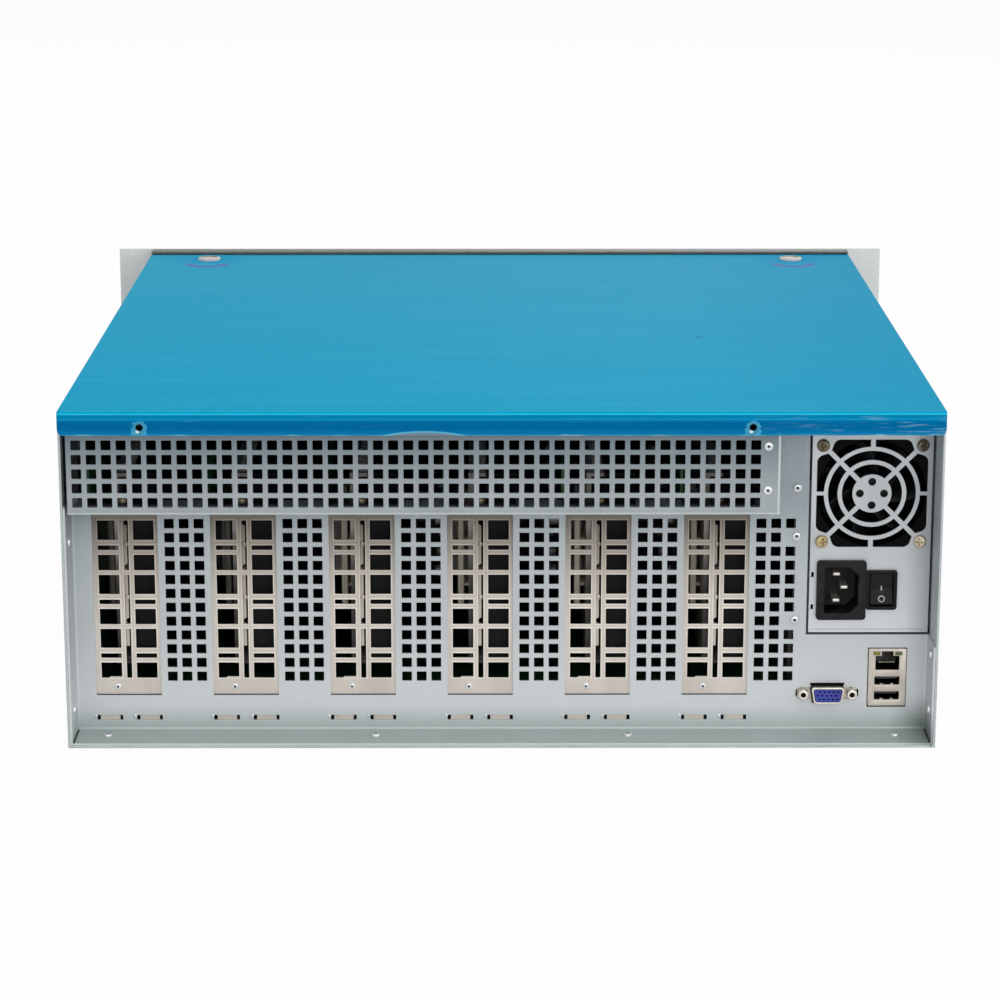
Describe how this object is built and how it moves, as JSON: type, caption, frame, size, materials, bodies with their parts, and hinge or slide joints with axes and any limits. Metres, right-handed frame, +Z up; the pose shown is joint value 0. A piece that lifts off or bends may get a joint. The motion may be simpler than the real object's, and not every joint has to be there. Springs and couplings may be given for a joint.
{
  "type": "rack server",
  "caption": "Low wide steel rack server: recessed rear panel with square vents, card brackets, power supply and ports, sliding top cover, front ears with handles and intake slots.",
  "frame": {"origin": "middle of the underside of the chassis floor", "axes": "+Z up, +Y from the connector panel at the rear to the rack ears at the front, +X to the right seen from the connector side; the picture looks along +Y"},
  "size_m": [0.4826, 0.501, 0.177],
  "materials": {
    "galvanised_steel": "galvanised sheet steel, satin",
    "filmed_steel": "sheet steel under clear blue protective film",
    "screw_steel": "bright plated steel",
    "ear_paint": "light grey powder coat",
    "frame_paint": "dark grey powder coat",
    "filter_foam": "open black filter foam",
    "board_green": "green circuit board",
    "light_pipe": "tinted light pipe",
    "black_plastic": "moulded black plastic",
    "handle_metal": "black coated die-cast metal",
    "psu_steel": "bright galvanised sheet",
    "screw_brass": "yellow passivated",
    "contact_metal": "nickel plated",
    "sink_aluminium": "bare aluminium",
    "port_blue": "blue moulded plastic",
    "bracket_nickel": "warm nickel plate",
    "rivet_metal": "bright aluminium rivet"
  },
  "bodies": {
    "chassis": {"board_sockets": "black_plastic", "board_standoffs": "screw_brass", "card_board_1": "board_green", "card_board_2": "board_green", "card_board_3": "board_green", "card_board_4": "board_green", "card_board_5": "board_green", "card_board_6": "board_green", "card_bracket_1": "bracket_nickel", "card_bracket_2": "bracket_nickel", "card_bracket_3": "bracket_nickel", "card_bracket_4": "bracket_nickel", "card_bracket_5": "bracket_nickel", "card_bracket_6": "bracket_nickel", "card_heat_sinks": "sink_aluminium", "card_screws": "screw_brass", "card_shrouds": "black_plastic", "chassis_tray": "galvanised_steel", "control_board": "board_green", "cpu_cooler": "sink_aluminium", "dust_filter": "filter_foam", "fan_frame_1": "black_plastic", "fan_frame_2": "black_plastic", "fan_frame_3": "black_plastic", "fan_wall": "galvanised_steel", "front_frame": "frame_paint", "front_handles": "handle_metal", "front_plate": "ear_paint", "inlet_pins": "contact_metal", "main_board": "board_green", "memory_module": "board_green", "network_usb_shell": "contact_metal", "port_lights": "light_pipe", "power_inlet": "black_plastic", "psu_board": "board_green", "psu_bracket": "galvanised_steel", "psu_case": "psu_steel", "psu_fan_frame": "black_plastic", "psu_fan_screws": "screw_brass", "psu_lid": "psu_steel", "rear_panel": "galvanised_steel", "rivets": "rivet_metal", "rocker_bezel": "black_plastic", "status_lights": "light_pipe", "storage_module": "board_green", "usb_tongues": "black_plastic", "vent_hood": "galvanised_steel", "vga_insert": "port_blue", "vga_screws": "contact_metal", "vga_shell": "contact_metal"},
    "cover": {"top_cover": "filmed_steel", "cover_screws": "screw_steel"},
    "psu_fan": {"psu_fan_rotor": "black_plastic"},
    "rocker": {"rocker_paddle": "black_plastic"},
    "power_key": {"power_button": "black_plastic"},
    "reset_key": {"reset_button": "black_plastic"},
    "intake_fan_1": {"fan_rotor_1": "black_plastic"},
    "intake_fan_2": {"fan_rotor_2": "black_plastic"},
    "intake_fan_3": {"fan_rotor_3": "black_plastic"}
  },
  "joints": [
    {"name": "cover_slide", "type": "slide", "parent": "chassis", "child": "cover", "axis": [0, -1, 0], "range_m": [0, 0.4]},
    {"name": "psu_fan_spin", "type": "hinge", "parent": "chassis", "child": "psu_fan", "pos_m": [0.187, -0.189, 0.1271], "axis": [0, 1, 0], "continuous": true},
    {"name": "rocker_turn", "type": "hinge", "parent": "chassis", "child": "rocker", "pos_m": [0.1932, -0.199, 0.0767], "axis": [1, 0, 0], "range_deg": [0, 18]},
    {"name": "power_press", "type": "slide", "parent": "chassis", "child": "power_key", "axis": [0, -1, 0], "range_m": [0, 0.0016], "stiffness_N_per_m": 300},
    {"name": "reset_press", "type": "slide", "parent": "chassis", "child": "reset_key", "axis": [0, -1, 0], "range_m": [0, 0.0016], "stiffness_N_per_m": 300},
    {"name": "intake_spin_1", "type": "hinge", "parent": "chassis", "child": "intake_fan_1", "pos_m": [-0.15, 0.2108, 0.0875], "axis": [0, 1, 0], "continuous": true},
    {"name": "intake_spin_2", "type": "hinge", "parent": "chassis", "child": "intake_fan_2", "pos_m": [-0.025, 0.2108, 0.0875], "axis": [0, 1, 0], "continuous": true},
    {"name": "intake_spin_3", "type": "hinge", "parent": "chassis", "child": "intake_fan_3", "pos_m": [0.1, 0.2108, 0.0875], "axis": [0, 1, 0], "continuous": true}
  ]
}
